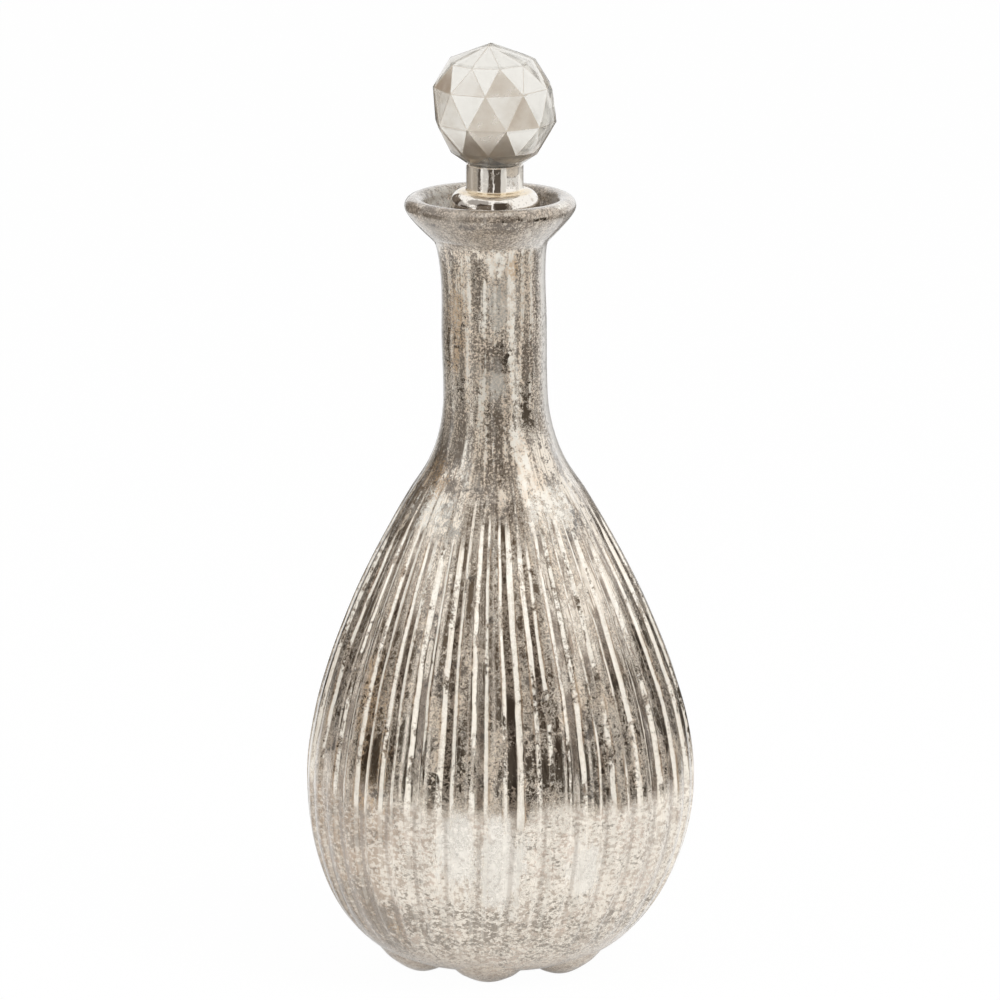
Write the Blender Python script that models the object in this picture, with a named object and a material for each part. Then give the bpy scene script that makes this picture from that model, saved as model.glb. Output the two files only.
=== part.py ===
"""Silvered glass decanter with a faceted stopper, in metres, +Z up.

The origin is on the surface that the decanter stands on, under its centre. The photographed side faces -Y.
A turned outline is a list of (radius, height) points, and an angle is counted from -Y towards +X.
"""

import math

import bmesh
import bpy
from mathutils import Matrix, Vector
from mathutils.geometry import interpolate_bezier

# Fits between pieces
GAP = 0.0003
WELD = GAP / 100

# Bottle, blown in one piece: heights are rises from one station to the next, the last at the lip
BASE_LIFT = 0.0040
BELLY_RISE = 0.0640
SHOULDER_RISE = 0.1038
THROAT_RISE = 0.0344
NECK_LENGTH = 0.0508
LIP_RISE = 0.0150
BASE_RADIUS = 0.0280
BELLY_RADIUS = 0.0683
SHOULDER_RADIUS = 0.0300
NECK_RADIUS = 0.0183
CREASE_RADIUS = 0.0191
LIP_RADIUS = 0.0300
LIP_BEAD = 0.0034
WALL = 0.0030
KICK = 0.0015
NECK_SPREAD = 0.0100
CREASE_DEPTH = 0.0004
CREASE_WIDTH = 0.0014
MOUTH_DROP = 0.0010

# How far each smooth run pulls along its end directions, as shares of its own rise or width
BASE_PULL_SHARE = 0.46
BELLY_LOW_PULL_SHARE = 0.60
BELLY_HIGH_PULL_SHARE = 0.37
SHOULDER_PULL_SHARE = 0.13
SHOULDER_SLOPE_SHARE = 1.85
THROAT_PULL_SHARE = 0.57
FUNNEL_PULL_SHARE = 0.32
LIP_PULL_SHARE = 0.22
KICK_PULL_SHARE = 0.40

# Moulded ribs: each has a wide rounded face and a narrow groove beside it
RIB_COUNT = 36
RIB_TURN = math.radians(-4.3)
GROOVE_DEPTH = 0.0012
RIB_TOP_DROP = 0.0060
RIB_TOP_FADE = 0.0160
RIB_BASE_RISE = 0.0050
RIB_BASE_FADE = 0.0220
RIB_SECTION_SHARES = ((0.0, 1.0), (0.21, 0.12), (0.5, 0.0), (0.79, 0.12))

# Silver coat on the inside of the glass
COAT_THICKNESS = 0.0004
COAT_SEAL_GAP = 0.0020

# Feet: gobs of glass laid on while the bottle is hot
FOOT_COUNT = 6
FOOT_TURN = math.radians(-4.0)
FOOT_WIDTH = 0.0240
FOOT_SPACE = 0.0045
FOOT_DEPTH = 0.0190
FOOT_HEIGHT = 0.0160
FOOT_FLAT = 0.0005

# Seal: a soft sleeve on the stopper's peg, with a collar that rests in the funnel
COLLAR_HEIGHT = 0.0060
SLEEVE_LENGTH = 0.0180
FIN_COUNT = 3
FIN_DEPTH = 0.0008
FIN_WIDTH_SHARE = 0.34
FIN_CREST_SHARE = 0.40

# Shank: stem, domed flange and tapered peg, blown in one hollow piece
FLANGE_RADIUS = 0.0159
FLANGE_HEIGHT = 0.0097
FLANGE_CHAMFER = 0.0008
DOME_HEIGHT = 0.0061
DOME_PULL_SHARE = 0.60
STEM_RADIUS = 0.0100
STEM_LENGTH = 0.0092
PEG_RADIUS = 0.0128
PEG_TAPER = 0.0014
PEG_LENGTH = 0.0300
PEG_ROUND = 0.0015
SHANK_BORE = 0.0072

# Plug that closes the peg's open end
PLUG_LENGTH = 0.0080
PLUG_CHAMFER = 0.0008

# Knob: a hollow ball of triangular facets, whose corners lie on a sphere
KNOB_RADIUS = 0.0224
KNOB_WALL = 0.0030
KNOB_SIDES = 9
KNOB_TURN = math.radians(-6.0)
KNOB_ROW_ANGLES = (42.5, 73.0, 107.0, 137.0)

# Edges sharper than this stay sharp in the smooth shading
SHARP_ANGLE = math.radians(32)

# Counts of faces
RING_COUNT = RIB_COUNT
CUTTER_RING_COUNT = 2 * RIB_COUNT
BODY_STEPS = (8, 9, 5)
INNER_BODY_STEPS = (5, 6, 4)
FUNNEL_STEPS = 4
BEAD_STEPS = 6
DOME_STEPS = 4
ROUND_STEPS = 3
KICK_STEPS = 2
FOOT_MERIDIANS = 18
FOOT_PARALLELS = 12

# Levels above the surface that the decanter stands on
BELLY_LEVEL = BASE_LIFT + BELLY_RISE
SHOULDER_LEVEL = BELLY_LEVEL + SHOULDER_RISE
NECK_LEVEL = SHOULDER_LEVEL + THROAT_RISE
CREASE_LEVEL = NECK_LEVEL + NECK_LENGTH
LIP_LEVEL = CREASE_LEVEL + LIP_RISE
MOUTH_LEVEL = CREASE_LEVEL - MOUTH_DROP
SEAT_LEVEL = MOUTH_LEVEL + COLLAR_HEIGHT
STEM_TOP = FLANGE_HEIGHT + DOME_HEIGHT + STEM_LENGTH

# Radii that follow from the sizes above
BORE_RADIUS = NECK_RADIUS - WALL
MOUTH_RADIUS = LIP_RADIUS - 2 * LIP_BEAD
FOOT_CIRCLE = (FOOT_WIDTH + FOOT_SPACE) / (2 * math.sin(math.pi / FOOT_COUNT))
KNOB_LEVEL = STEM_TOP + GAP + math.sqrt(KNOB_RADIUS ** 2 - STEM_RADIUS ** 2)


def clear_scene():
    for old in list(bpy.data.objects):
        bpy.data.objects.remove(old, do_unlink=True)


def material(name, color, metallic, roughness):
    made = bpy.data.materials.new(name)
    made.use_nodes = True
    shader = made.node_tree.nodes["Principled BSDF"]
    shader.inputs["Base Color"].default_value = (*color, 1.0)
    shader.inputs["Metallic"].default_value = metallic
    shader.inputs["Roughness"].default_value = roughness
    return made


def run(start, start_pull, end, end_pull, steps):
    """The points after start on a smooth run that leaves start and meets end along their pulls."""
    return interpolate_bezier(start, start + start_pull, end - end_pull, end, steps + 1)[1:]


def arc(centre, radius, first, last, steps):
    """Points on an arc in the plane of an outline, whose angles are counted from the outward direction."""
    angles = [first + (last - first) * step / steps for step in range(steps + 1)]
    return [centre + radius * Vector((math.cos(angle), math.sin(angle))) for angle in angles]


def inset(outline, distance):
    """A vessel's side, base first, moved towards the inside, square to itself at each point."""
    moved = []
    for index, point in enumerate(outline):
        before = outline[max(index - 1, 0)]
        after = outline[min(index + 1, len(outline) - 1)]
        along = (after - before).normalized()
        moved.append(point + distance * Vector((-along.y, along.x)))
    return moved


def cut_at(outline, height):
    """The part of a rising outline that lies below a height, ended on that height."""
    kept = [point for point in outline if point.y < height]
    after = outline[len(kept)]
    share = (height - kept[-1].y) / (after.y - kept[-1].y)
    return kept + [kept[-1].lerp(after, share)]


def finish(name, shape, surface, parent=None, height=0.0):
    """Makes a named object of a bmesh shape, shaded smooth between its sharp edges."""
    bmesh.ops.recalc_face_normals(shape, faces=shape.faces)
    mesh = bpy.data.meshes.new(name)
    shape.to_mesh(mesh)
    shape.free()
    mesh.shade_smooth()
    mesh.set_sharp_from_angle(angle=SHARP_ANGLE)
    mesh.materials.append(surface)
    made = bpy.data.objects.new(name, mesh)
    bpy.context.scene.collection.objects.link(made)
    made.location.z = height
    made.parent = parent
    return made


def turned(outline, count, closed):
    """Spins an outline about +Z; its ends lie on the axis unless it is closed into a loop."""
    shape = bmesh.new()
    first = Matrix.Rotation(RIB_TURN, 4, "Z")
    points = [shape.verts.new(first @ Vector((0, -point.x, point.y))) for point in outline]
    pairs = list(zip(points, points[1:]))
    if closed:
        pairs.append((points[-1], points[0]))
    edges = [shape.edges.new(pair) for pair in pairs]
    bmesh.ops.spin(
        shape,
        geom=points + edges,
        cent=Vector(),
        axis=Vector((0, 0, 1)),
        angle=2 * math.pi,
        steps=count,
        use_merge=True,
    )
    bmesh.ops.remove_doubles(shape, verts=shape.verts, dist=WELD)
    return shape


def ring(shape, point, count, turn=RIB_TURN):
    """A ring of vertices at an outline's point, or its one vertex where the point is on the axis."""
    if point.x == 0:
        return [shape.verts.new((0, 0, point.y))]
    angles = [turn + 2 * math.pi * index / count for index in range(count)]
    return [shape.verts.new((point.x * math.sin(a), -point.x * math.cos(a), point.y)) for a in angles]


def join(shape, fine, coarse):
    """Faces between two rings, where one has as many vertices as the other, or a whole multiple of them."""
    if len(fine) < len(coarse):
        fine, coarse = coarse, fine
    ratio = len(fine) // len(coarse)
    for index, corner in enumerate(fine):
        near = coarse[(index + ratio // 2) // ratio % len(coarse)]
        far = coarse[(index + 1 + ratio // 2) // ratio % len(coarse)]
        following = fine[(index + 1) % len(fine)]
        shape.faces.new(dict.fromkeys((corner, following, far, near)))


def body_outline(steps):
    """The bottle's outer side from the edge of its base to the foot of its neck, over the ribs."""
    base = Vector((BASE_RADIUS, BASE_LIFT))
    belly = Vector((BELLY_RADIUS, BELLY_LEVEL))
    shoulder = Vector((SHOULDER_RADIUS, SHOULDER_LEVEL))
    neck = Vector((NECK_RADIUS, NECK_LEVEL))
    slope = SHOULDER_SLOPE_SHARE * (NECK_RADIUS - SHOULDER_RADIUS) / THROAT_RISE
    base_pull = Vector((BASE_PULL_SHARE * (BELLY_RADIUS - BASE_RADIUS), 0))
    low_pull = Vector((0, BELLY_LOW_PULL_SHARE * BELLY_RISE))
    high_pull = Vector((0, BELLY_HIGH_PULL_SHARE * SHOULDER_RISE))
    bend_pull = SHOULDER_PULL_SHARE * Vector((slope, 1))
    neck_pull = Vector((0, THROAT_PULL_SHARE * THROAT_RISE))
    return (
        [base]
        + run(base, base_pull, belly, low_pull, steps[0])
        + run(belly, high_pull, shoulder, SHOULDER_RISE * bend_pull, steps[1])
        + run(shoulder, THROAT_RISE * bend_pull, neck, neck_pull, steps[2])
    )


def funnel_outline():
    """The inside of the flared mouth, from the top of the neck's bore up to the lip."""
    mouth = Vector((BORE_RADIUS, MOUTH_LEVEL))
    lip = Vector((MOUTH_RADIUS, LIP_LEVEL))
    rise = LIP_LEVEL - MOUTH_LEVEL
    up = Vector((0, FUNNEL_PULL_SHARE * rise))
    lip_up = Vector((0, LIP_PULL_SHARE * rise))
    return [mouth] + run(mouth, up, lip, lip_up, FUNNEL_STEPS)


def mouth_outline():
    """The neck's outer side, the crease under the lip, the flare and the round bead of the lip."""
    spread = Vector((NECK_RADIUS, CREASE_LEVEL - NECK_SPREAD))
    below = Vector((CREASE_RADIUS, CREASE_LEVEL - CREASE_WIDTH / 2))
    crease = Vector((CREASE_RADIUS - CREASE_DEPTH, CREASE_LEVEL))
    above = Vector((CREASE_RADIUS, CREASE_LEVEL + CREASE_WIDTH / 2))
    lip = Vector((LIP_RADIUS, LIP_LEVEL))
    flare = FUNNEL_PULL_SHARE * Vector((LIP_RADIUS - CREASE_RADIUS, LIP_RISE))
    upright = Vector((0, LIP_PULL_SHARE * LIP_RISE))
    centre = Vector((LIP_RADIUS - LIP_BEAD, LIP_LEVEL))
    bead = arc(centre, LIP_BEAD, 0, math.pi, BEAD_STEPS)
    return [spread, below, crease, above] + run(above, flare, lip, upright, FUNNEL_STEPS)[:-1] + bead


def smooth_step(value):
    value = min(max(value, 0.0), 1.0)
    return value * value * (3 - 2 * value)


def groove_depth(point):
    """How deep the grooves are at a point of the body: they start under the shoulder and fade at the base."""
    below_top = (SHOULDER_LEVEL - RIB_TOP_DROP - point.y) / RIB_TOP_FADE
    above_base = (point.y - BASE_LIFT - RIB_BASE_RISE) / RIB_BASE_FADE
    return GROOVE_DEPTH * point.x / BELLY_RADIUS * smooth_step(below_top) * smooth_step(above_base)


def ribbed_ring(shape, point):
    """A ring round the body with four vertices for each rib, pressed in at the grooves."""
    corners = []
    for rib in range(RIB_COUNT):
        for place_share, depth_share in RIB_SECTION_SHARES:
            angle = RIB_TURN + 2 * math.pi * (rib + place_share) / RIB_COUNT
            radius = point.x - depth_share * groove_depth(point)
            corners.append(shape.verts.new((radius * math.sin(angle), -radius * math.cos(angle), point.y)))
    return corners


def make_bottle(glass):
    shape = bmesh.new()
    base = Vector((BASE_RADIUS, BASE_LIFT))
    crown = Vector((0, BASE_LIFT + KICK))
    flat = Vector((KICK_PULL_SHARE * BASE_RADIUS, 0))
    kick = [crown] + run(crown, flat, base, flat, KICK_STEPS)[:-1]
    body = body_outline(BODY_STEPS)
    throat_start = sum(BODY_STEPS[:2])
    inner = inset(body_outline(INNER_BODY_STEPS), WALL)
    bore = funnel_outline()[-2::-1]
    floor = [point + Vector((0, WALL)) for point in reversed(kick)]

    rings = [ring(shape, point, RING_COUNT) for point in kick]
    rings += [ribbed_ring(shape, point) for point in body[: throat_start + 1]]
    rings += [ring(shape, point, RING_COUNT) for point in body[throat_start + 1 :] + mouth_outline()]
    rings += [ring(shape, point, RING_COUNT) for point in bore + inner[::-1] + floor]
    for lower, upper in zip(rings, rings[1:]):
        join(shape, lower, upper)
    return finish("bottle", shape, glass)


def make_lining(silver):
    """The silver coat: a thin skin over the floor, the belly and the neck, ended below the seal."""
    side = inset(body_outline(INNER_BODY_STEPS), WALL)
    crown = Vector((0, BASE_LIFT + KICK + WALL))
    top = Vector((BORE_RADIUS, MOUTH_LEVEL - SLEEVE_LENGTH - COAT_SEAL_GAP))
    faces = [crown] + side + [top]
    outer = inset(faces, GAP)
    inner = inset(faces, GAP + COAT_THICKNESS)
    for skin in (outer, inner):
        skin[0].x = 0
        skin[-1].y = top.y
    return finish("silver_lining", turned(outer + inner[::-1], RING_COUNT, False), silver)


def make_foot_cutter():
    """The space that the bottle takes, with the gap round it, up to the belly's widest level."""
    side = inset(body_outline(BODY_STEPS)[: BODY_STEPS[0] + 1], -GAP)
    side[0].y = BASE_LIFT - GAP
    outline = [Vector((0, BASE_LIFT - GAP))] + side + [Vector((0, side[-1].y))]
    cutter = finish("bottle_space", turned(outline, CUTTER_RING_COUNT, False), None)
    cutter.hide_render = True
    cutter.display_type = "WIRE"
    return cutter


def make_first_foot(glass):
    """One gob, wider than deep, cut level where it stands."""
    shape = bmesh.new()
    size = Matrix.Diagonal((FOOT_WIDTH / 2, FOOT_DEPTH / 2, FOOT_HEIGHT / 2, 1))
    place = Matrix.Translation((0, -FOOT_CIRCLE, FOOT_HEIGHT / 2 - FOOT_FLAT))
    bmesh.ops.create_uvsphere(
        shape,
        u_segments=FOOT_MERIDIANS,
        v_segments=FOOT_PARALLELS,
        radius=1,
        matrix=place @ size,
    )
    cut = bmesh.ops.bisect_plane(
        shape,
        geom=shape.verts[:] + shape.edges[:] + shape.faces[:],
        plane_co=Vector(),
        plane_no=Vector((0, 0, 1)),
        clear_inner=True,
    )
    rim = [item for item in cut["geom_cut"] if isinstance(item, bmesh.types.BMEdge)]
    bmesh.ops.contextual_create(shape, geom=rim)
    return finish("foot_1", shape, glass)


def make_feet(glass):
    """The feet stand in a circle under the base, each pressed against the bottle's underside."""
    cutter = make_foot_cutter()
    first = make_first_foot(glass)
    for index in range(FOOT_COUNT):
        foot = first
        if index:
            foot = bpy.data.objects.new(f"foot_{index + 1}", first.data)
            bpy.context.scene.collection.objects.link(foot)
        foot.rotation_euler.z = FOOT_TURN + 2 * math.pi * index / FOOT_COUNT
        cut = foot.modifiers.new("bottle_side", "BOOLEAN")
        cut.object = cutter
        cut.operation = "DIFFERENCE"
        cut.solver = "EXACT"


def peg_radius(depth):
    """The peg's radius at a depth below the flange."""
    return PEG_RADIUS - PEG_TAPER * depth / PEG_LENGTH


def make_seal(plastic, carrier):
    """The sleeve follows the peg inside; outside it has fins in the bore and a collar in the funnel."""
    sleeve_radius = BORE_RADIUS - GAP - FIN_DEPTH
    sleeve_end = -COLLAR_HEIGHT - SLEEVE_LENGTH
    pitch = SLEEVE_LENGTH / FIN_COUNT
    outer = [Vector((sleeve_radius, sleeve_end))]
    for fin in range(FIN_COUNT):
        middle = sleeve_end + (fin + 0.5) * pitch
        for radius, half in (
            (sleeve_radius, -FIN_WIDTH_SHARE * pitch),
            (sleeve_radius + FIN_DEPTH, -FIN_WIDTH_SHARE * FIN_CREST_SHARE * pitch),
            (sleeve_radius + FIN_DEPTH, FIN_WIDTH_SHARE * FIN_CREST_SHARE * pitch),
            (sleeve_radius, FIN_WIDTH_SHARE * pitch),
        ):
            outer.append(Vector((radius, middle + half)))
    funnel = [point - Vector((0, SEAT_LEVEL)) for point in inset(funnel_outline(), GAP)]
    outer += cut_at(funnel, -GAP)
    depths = (GAP, COLLAR_HEIGHT + SLEEVE_LENGTH)
    inner = [Vector((peg_radius(depth) + GAP, -depth)) for depth in depths]
    return finish("stopper_seal", turned(outer + inner, RING_COUNT, True), plastic, carrier)


def make_shank(glass, stopper):
    """A hollow piece: stem on top, dome and flange on the seal's collar, and the peg down in the sleeve."""
    dome_top = Vector((STEM_RADIUS, FLANGE_HEIGHT + DOME_HEIGHT))
    flange = Vector((FLANGE_RADIUS, FLANGE_HEIGHT))
    outward = Vector((DOME_PULL_SHARE * (FLANGE_RADIUS - STEM_RADIUS), 0))
    downward = Vector((0, -DOME_PULL_SHARE * DOME_HEIGHT))
    dome = [dome_top] + run(dome_top, outward, flange, downward, DOME_STEPS)
    end_radius = peg_radius(PEG_LENGTH)
    round_centre = Vector((end_radius - PEG_ROUND, PEG_ROUND - PEG_LENGTH))
    outline = (
        [Vector((SHANK_BORE, STEM_TOP)), Vector((STEM_RADIUS, STEM_TOP))]
        + dome
        + [Vector((FLANGE_RADIUS, FLANGE_CHAMFER)), Vector((FLANGE_RADIUS - FLANGE_CHAMFER, 0))]
        + [Vector((PEG_RADIUS, 0))]
        + arc(round_centre, PEG_ROUND, 0, -math.pi / 2, ROUND_STEPS)
        + [Vector((SHANK_BORE, -PEG_LENGTH))]
    )
    return finish("shank", turned(outline, RING_COUNT, True), glass, stopper)


def make_plug(cork, stopper):
    """A short stopper of its own, pushed into the peg's open end, flush with it."""
    radius = SHANK_BORE - GAP
    outline = [
        Vector((0, PLUG_LENGTH)),
        Vector((radius - PLUG_CHAMFER, PLUG_LENGTH)),
        Vector((radius, PLUG_LENGTH - PLUG_CHAMFER)),
        Vector((radius, PLUG_CHAMFER)),
        Vector((radius - PLUG_CHAMFER, 0)),
        Vector((0, 0)),
    ]
    return finish("peg_plug", turned(outline, RING_COUNT, False), cork, stopper, -PEG_LENGTH)


def knob_rings(shape, radius, half_steps):
    """The rows of corners on a sphere, from the top; each row is turned half a facet from the last."""
    rows = [ring(shape, Vector((0, radius)), KNOB_SIDES)]
    for row, degrees in enumerate(KNOB_ROW_ANGLES):
        polar = math.radians(degrees)
        turn = KNOB_TURN + half_steps[row % 2] * math.pi / KNOB_SIDES
        place = Vector((radius * math.sin(polar), radius * math.cos(polar)))
        rows.append(ring(shape, place, KNOB_SIDES, turn))
    return rows


def join_staggered(shape, upper, lower, lead):
    """Triangles between two rows whose corners stand half a facet apart."""
    count = len(upper)
    for index in range(count):
        shape.faces.new((upper[index], lower[(index + lead) % count], lower[(index + lead - 1) % count]))
        shape.faces.new((upper[index], upper[(index + 1) % count], lower[(index + lead) % count]))


def make_knob(pearl, stopper):
    """A shell of facets, open underneath to the shank's bore, with a level ring where it meets the stem."""
    shape = bmesh.new()
    half_steps = (1, 0)
    outer = knob_rings(shape, KNOB_RADIUS, half_steps)
    inner = knob_rings(shape, KNOB_RADIUS - KNOB_WALL, half_steps)
    seat = STEM_TOP + GAP - KNOB_LEVEL
    stem_ring = ring(shape, Vector((STEM_RADIUS, seat)), KNOB_SIDES, KNOB_TURN)
    bore_ring = ring(shape, Vector((SHANK_BORE, seat)), KNOB_SIDES, KNOB_TURN)
    for rows in (outer, inner):
        join(shape, rows[1], rows[0])
        for row in range(1, len(rows) - 1):
            join_staggered(shape, rows[row], rows[row + 1], half_steps[(row - 1) % 2])
    join(shape, outer[-1], stem_ring)
    join(shape, stem_ring, bore_ring)
    join(shape, bore_ring, inner[-1])
    knob = finish("knob", shape, pearl, stopper, KNOB_LEVEL)
    knob.data.shade_flat()
    return knob


def carrier_empty(name):
    """An empty on the stopper's axis, level with the underside of its flange."""
    made = bpy.data.objects.new(name, None)
    bpy.context.scene.collection.objects.link(made)
    made.location.z = SEAT_LEVEL
    return made


def main():
    clear_scene()
    glass = material("silvered_glass", (0.66, 0.62, 0.58), 0.85, 0.25)
    silver = material("silver_coat", (0.80, 0.76, 0.70), 1.0, 0.15)
    pearl = material("pearl_glass", (0.80, 0.76, 0.68), 0.55, 0.22)
    plastic = material("clear_plastic", (0.85, 0.86, 0.86), 0.0, 0.35)
    cork = material("cork", (0.62, 0.45, 0.28), 0.0, 0.85)
    make_bottle(glass)
    make_lining(silver)
    make_feet(glass)
    make_seal(plastic, carrier_empty("seal_carrier"))
    stopper = carrier_empty("stopper")
    make_shank(glass, stopper)
    make_plug(cork, stopper)
    make_knob(pearl, stopper)


main()
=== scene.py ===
import math
import random
from functools import reduce
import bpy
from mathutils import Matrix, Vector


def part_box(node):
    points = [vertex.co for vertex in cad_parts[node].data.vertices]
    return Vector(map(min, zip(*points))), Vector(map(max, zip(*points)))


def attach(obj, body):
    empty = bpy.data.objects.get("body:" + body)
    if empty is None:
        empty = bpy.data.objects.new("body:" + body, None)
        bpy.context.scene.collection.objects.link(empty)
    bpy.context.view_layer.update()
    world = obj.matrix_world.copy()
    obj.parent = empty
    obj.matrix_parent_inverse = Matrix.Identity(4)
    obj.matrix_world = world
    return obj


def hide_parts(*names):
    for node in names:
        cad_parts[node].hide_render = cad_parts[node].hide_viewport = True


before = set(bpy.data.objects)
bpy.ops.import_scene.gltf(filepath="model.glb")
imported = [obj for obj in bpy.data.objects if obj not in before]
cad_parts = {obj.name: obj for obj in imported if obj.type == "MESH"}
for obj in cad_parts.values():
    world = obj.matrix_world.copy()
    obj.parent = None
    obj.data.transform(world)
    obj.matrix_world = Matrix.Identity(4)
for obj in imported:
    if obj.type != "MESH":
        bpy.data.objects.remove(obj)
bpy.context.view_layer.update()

from types import SimpleNamespace

import bpy
from mathutils import Matrix, Vector, noise
from mathutils.geometry import interpolate_bezier

# Camera
# A long lens that looks down on the decanter by about twelve degrees, as the photograph was taken.
CAMERA_ASIDE = 0.0018
CAMERA_DISTANCE = 4.0
CAMERA_HEIGHT = 1.05
CAMERA_AIM_HEIGHT = 0.1668
CAMERA_LENS = 420.5

bpy.ops.object.camera_add(location=(CAMERA_ASIDE, -CAMERA_DISTANCE, CAMERA_HEIGHT))
camera = bpy.context.object
sight = Vector((0, CAMERA_DISTANCE, CAMERA_AIM_HEIGHT - CAMERA_HEIGHT))
camera.rotation_euler = sight.to_track_quat("-Z", "Y").to_euler()
camera.data.lens = CAMERA_LENS
bpy.context.scene.camera = camera

# Bottle
# Blown into a ribbed mould in one piece of clear glass: a ribbed belly, a smooth shoulder and neck,
# a tooled crease, a funnel and a thick rolled lip. The finish seen through the glass is the crackled
# silver behind it.
# Its colour also carries painted highlights along the grooves, a painted sheen at grazing edges, and
# painted shade under the lip and round the base.
BOTTLE_LOW, BOTTLE_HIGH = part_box("bottle")
BELLY_RADIUS = BOTTLE_HIGH.x
LIP_BEAD = 0.0034
BASE_LEVEL = BOTTLE_LOW.z
LIP_LEVEL = BOTTLE_HIGH.z - LIP_BEAD
BELLY_LEVEL = BASE_LEVEL + 0.0640
SHOULDER_LEVEL = BELLY_LEVEL + 0.1038
NECK_LEVEL = SHOULDER_LEVEL + 0.0344
CREASE_LEVEL = LIP_LEVEL - 0.0106
FLARE_LEVEL = LIP_LEVEL - 0.0123
SPREAD_LEVEL = LIP_LEVEL - 0.0320
MOUTH_LEVEL = LIP_LEVEL - 0.0160
KICK = 0.0015
BASE_RADIUS = 0.0280
SHOULDER_RADIUS = 0.0300
NECK_RADIUS = 0.0183
FLARE_RADIUS = 0.0200
SPREAD_PULL = (0.0, 0.0080)
FLARE_FOOT_PULL = (0.0014, 0.0022)
FLARE_PULL = (0.0026, 0.0028)
FLARE_LIP_PULL = (0.0, 0.0027)
CREASE_DEPTH = 0.00045
CREASE_WIDTH = 0.0011
CREASE_TURN = math.radians(-32)
CREASE_SPAN = math.radians(40)
LIP_RADIUS = 0.0300
WALL = 0.0030
BORE_RADIUS = NECK_RADIUS - WALL
MOUTH_RADIUS = LIP_RADIUS - 2 * LIP_BEAD

# How far each smooth run pulls along its end directions, as shares of its own rise or width
BASE_PULL_SHARE = 0.46
BELLY_LOW_PULL_SHARE = 0.60
BELLY_HIGH_PULL_SHARE = 0.37
SHOULDER_PULL_SHARE = 0.13
SHOULDER_SLOPE_SHARE = 1.85
THROAT_PULL_SHARE = 0.57
FUNNEL_PULL_SHARE = 0.32
LIP_PULL_SHARE = 0.22
KICK_PULL_SHARE = 0.40

RIB_COUNT = 36
RIB_TURN = math.radians(-6.5)
RIB_POINT_SHARES = (0.0, 0.075, 0.130, 0.160, 0.200, 0.250, 0.290, 0.320, 0.5)
HALF_RIB_POINTS = len(RIB_POINT_SHARES) - 1
GROOVE_DEPTH = 0.00120
GROOVE_FLOOR_SHARE = 0.145
GROOVE_EDGE_SHARE = 0.305
CROWN_SHARE = 0.10
RIB_TOP_DROP = 0.0075
RIB_TOP_FADE = 0.0080
RIB_TOP_SPREAD = 0.0060
FAINT_TOP_RISE = 0.0220
FAINT_FADE = 0.0300
FAINT_SHARE = 0.35
RIB_BASE_RISE = 0.0050
RIB_BASE_FADE = 0.0220
RIB_DRIFT = 0.0007
RIB_DRIFT_SCALE = 28.0
WAVE_DEPTH = 0.00022
WAVE_SCALE = 55.0
LEAN_BY_LEVEL = ((0.0, -0.0004), (0.068, 0.0020), (0.170, 0.0010), (0.230, -0.0002), (0.276, -0.0016))

KICK_STEPS = 3
OUTER_STEPS = (22, 44, 12)
NECK_STEPS = 8
SPREAD_STEPS = 7
FLARE_FINE_STEPS = 36
FLARE_SKIP = 4
FLARE_STEPS = 7
BEAD_STEPS = 12
INNER_STEPS = (6, 8, 5)
MERGE_DISTANCE = 0.000002


def start_from_nothing():
    """Clears the selection, so that the next operator acts on its own new mesh alone."""
    if bpy.context.object and bpy.context.object.mode != "OBJECT":
        bpy.ops.object.mode_set(mode="OBJECT")
    bpy.ops.object.select_all(action="DESELECT")


def run(start, start_pull, end, end_pull, steps):
    """The points after start on a smooth run that leaves start and meets end along their pulls."""
    return interpolate_bezier(start, start + start_pull, end - end_pull, end, steps + 1)[1:]


def arc(centre, radius, first, last, steps):
    """Points on an arc in the plane of an outline, whose angles are counted from the outward direction."""
    angles = [first + (last - first) * step / steps for step in range(steps + 1)]
    return [centre + radius * Vector((math.cos(angle), math.sin(angle))) for angle in angles]


def inset(outline, distance):
    """A vessel's side, base first, moved towards the inside, square to itself at each point."""
    moved = []
    for index, point in enumerate(outline):
        before = outline[max(index - 1, 0)]
        after = outline[min(index + 1, len(outline) - 1)]
        along = (after - before).normalized()
        moved.append(point + distance * Vector((-along.y, along.x)))
    return moved


def smooth_step(value):
    value = min(max(value, 0.0), 1.0)
    return value * value * (3 - 2 * value)


def spin_outline(name, outline, around, closed=False):
    """Drags one vertex along an outline of (radius, height) points, then spins the line about the axis."""
    start_from_nothing()
    bpy.ops.mesh.primitive_plane_add(size=WALL)
    piece = bpy.context.object
    piece.name = name
    bpy.ops.object.mode_set(mode="EDIT")
    bpy.ops.mesh.select_mode(type="VERT")
    bpy.ops.mesh.merge(type="CENTER")
    place = Vector((outline[0].x, 0, outline[0].y))
    bpy.ops.transform.translate(value=place)
    for before, after in zip(outline, outline[1:]):
        step = (after.x - before.x, 0, after.y - before.y)
        bpy.ops.mesh.extrude_vertices_move(TRANSFORM_OT_translate={"value": step})
    bpy.ops.mesh.select_all(action="SELECT")
    if closed:
        bpy.ops.mesh.edge_face_add()
        bpy.ops.mesh.delete(type="ONLY_FACE")
        bpy.ops.mesh.select_all(action="SELECT")
    bpy.ops.mesh.spin(steps=around, angle=2 * math.pi, center=(0, 0, 0), axis=(0, 0, 1))
    bpy.ops.mesh.select_all(action="SELECT")
    bpy.ops.mesh.remove_doubles(threshold=MERGE_DISTANCE)
    bpy.ops.mesh.normals_make_consistent(inside=False)
    bpy.ops.object.mode_set(mode="OBJECT")
    return piece


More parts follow.
